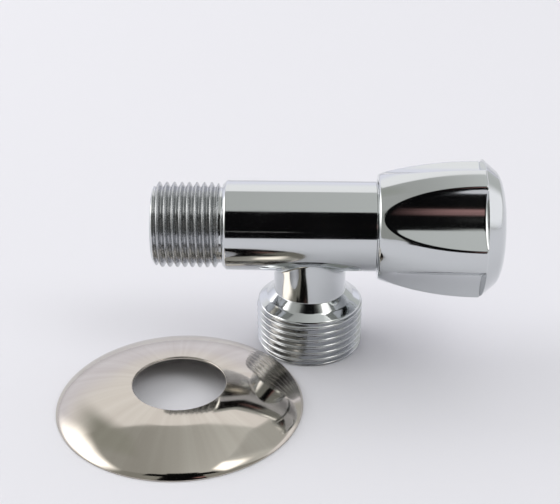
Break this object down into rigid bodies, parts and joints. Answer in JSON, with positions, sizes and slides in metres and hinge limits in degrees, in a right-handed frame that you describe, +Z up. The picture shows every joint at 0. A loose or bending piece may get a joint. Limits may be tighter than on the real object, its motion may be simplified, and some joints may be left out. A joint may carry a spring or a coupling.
{
  "type": "angle stop valve",
  "caption": "Plated quarter-turn angle stop valve with a fluted handle, threaded inlet and outlet at a right angle, and a loose domed wall flange.",
  "frame": {"origin": "under the middle of the whole set, on the surface that it stands on", "axes": "+X from the inlet to the handle along the barrel, +Z up, the outlet points down and the wall flange lies in front, towards -Y"},
  "size_m": [0.1046, 0.0746, 0.0491],
  "materials": {
    "plating": "mirror-bright chrome plate over brass or zinc",
    "stainless": "polished stainless sheet",
    "brass": "turned, uncoated",
    "steel": "plain bright steel",
    "ceramic": "lapped aluminium oxide",
    "rubber": "moulded nitrile rubber",
    "plastic": "moulded acetal"
  },
  "bodies": {
    "valve": {"valve_body": "plating", "seat_seal": "rubber", "seal_support_ring": "plastic", "fixed_disc": "ceramic", "cartridge_housing": "brass", "collar_washer": "rubber"},
    "handle": {"moving_disc": "ceramic", "spindle": "brass", "spindle_oring_inner": "rubber", "spindle_oring_outer": "rubber", "thrust_washer": "plastic", "stop_ring": "brass", "circlip": "steel", "spline_bush": "plastic", "handle": "plating", "spring_washer": "steel", "handle_screw": "steel", "index_cap": "plating"},
    "escutcheon": {"escutcheon": "stainless"}
  },
  "joints": [
    {"name": "handle_turn", "type": "hinge", "parent": "valve", "child": "handle", "pos_m": [0.03, 0.02081, 0.03234], "axis": [1, 0, 0], "range_deg": [0, 90]},
    {"name": "escutcheon_lift", "type": "slide", "parent": "valve", "child": "escutcheon", "axis": [0, -0.7071, 0.7071], "range_m": [0, 0.05]}
  ]
}
